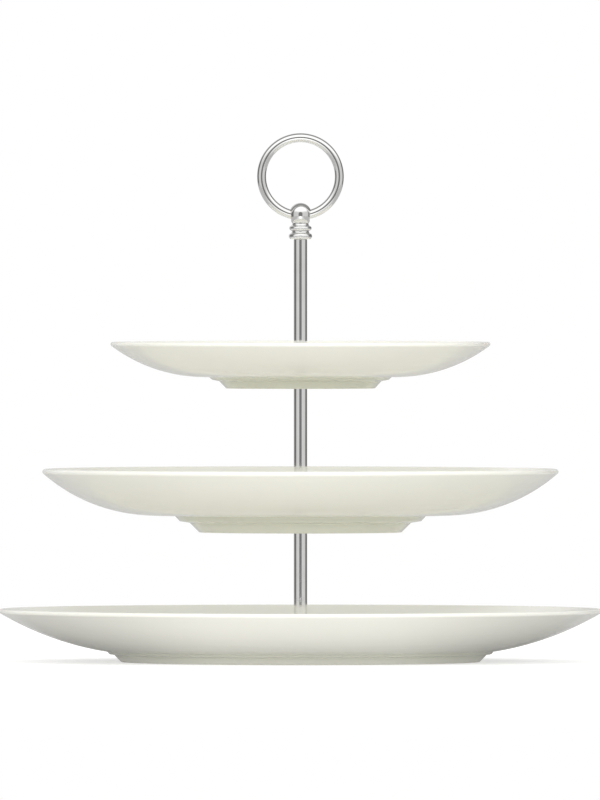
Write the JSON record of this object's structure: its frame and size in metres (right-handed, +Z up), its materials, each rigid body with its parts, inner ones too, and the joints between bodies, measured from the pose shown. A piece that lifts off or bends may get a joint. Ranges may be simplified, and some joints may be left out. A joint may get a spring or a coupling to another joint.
{
  "type": "tiered cake stand",
  "caption": "Three shallow round porcelain plates of falling size, stacked on a slim chrome stem with a turned finial and a swinging ring handle.",
  "frame": {"origin": "on the table, on the stem's axis, in the plane that the bottom plate's foot ring stands on", "axes": "+Z up along the stem; the ring handle stands in the XZ plane and swings about X; +Y away from the front"},
  "size_m": [0.27, 0.27, 0.2366],
  "materials": {
    "porcelain": "clear gloss glaze over off-white porcelain",
    "chrome": "bright polished chrome plate",
    "silicone": "satin translucent white silicone",
    "steel": "plain turned stainless steel"
  },
  "bodies": {
    "stand": {"bottom_plate": "porcelain", "middle_plate": "porcelain", "top_plate": "porcelain", "base_screw": "steel", "base_washer": "steel", "bottom_lower_cushion": "silicone", "bottom_upper_cushion": "silicone", "bottom_upper_washer": "chrome", "lower_rod": "chrome", "middle_lower_washer": "chrome", "middle_lower_cushion": "silicone", "lower_stud": "steel", "middle_upper_cushion": "silicone", "middle_upper_washer": "chrome", "middle_rod": "chrome", "top_lower_washer": "chrome", "top_lower_cushion": "silicone", "upper_stud": "steel", "top_upper_cushion": "silicone", "top_upper_washer": "chrome", "upper_rod": "chrome", "finial_stud": "steel", "finial": "chrome"},
    "ring": {"ring_handle": "chrome"}
  },
  "joints": [
    {"name": "ring_swing", "type": "hinge", "parent": "stand", "child": "ring", "pos_m": [0, 0, 0.1998], "axis": [1, 0, 0], "range_deg": [-170, 170]}
  ]
}
